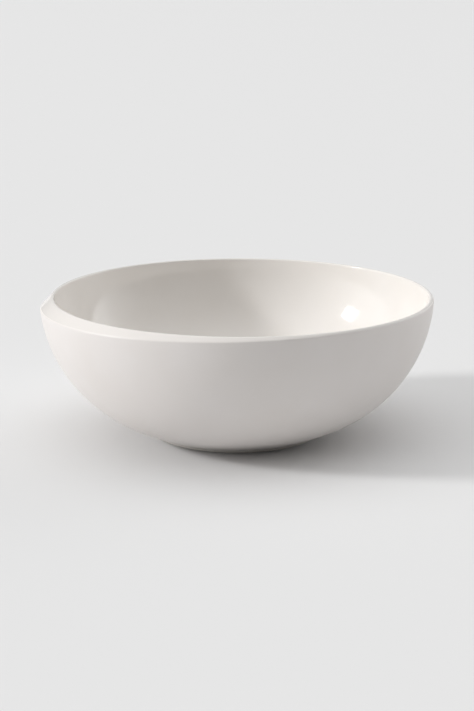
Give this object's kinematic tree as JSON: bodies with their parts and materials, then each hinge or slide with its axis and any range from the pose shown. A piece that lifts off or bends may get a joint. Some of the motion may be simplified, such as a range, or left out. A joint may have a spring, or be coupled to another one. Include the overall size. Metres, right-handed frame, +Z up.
{
  "type": "serving bowl",
  "caption": "Round white porcelain serving bowl on a low foot ring, with an off-centre hollow whose sloping rim land widens from a thin lip to a broad crescent.",
  "frame": {"origin": "middle of the foot ring's standing face, on the axis that the outside is turned about", "axes": "+Z up; -Y is the front; the rim's thin lip is at the front right (+X -Y) and its broad crescent at the back left (-X +Y)"},
  "size_m": [0.2893, 0.2894, 0.105],
  "materials": {
    "porcelain": "matte",
    "biscuit": "matte",
    "gloss_glaze": "gloss",
    "satin_glaze": "satin",
    "base_coat": "gloss"
  },
  "bodies": {
    "root": {"porcelain_body": "porcelain", "foot_ring": "biscuit", "inside_glaze": "gloss_glaze", "outside_glaze": "satin_glaze", "base_glaze": "base_coat"}
  },
  "joints": []
}
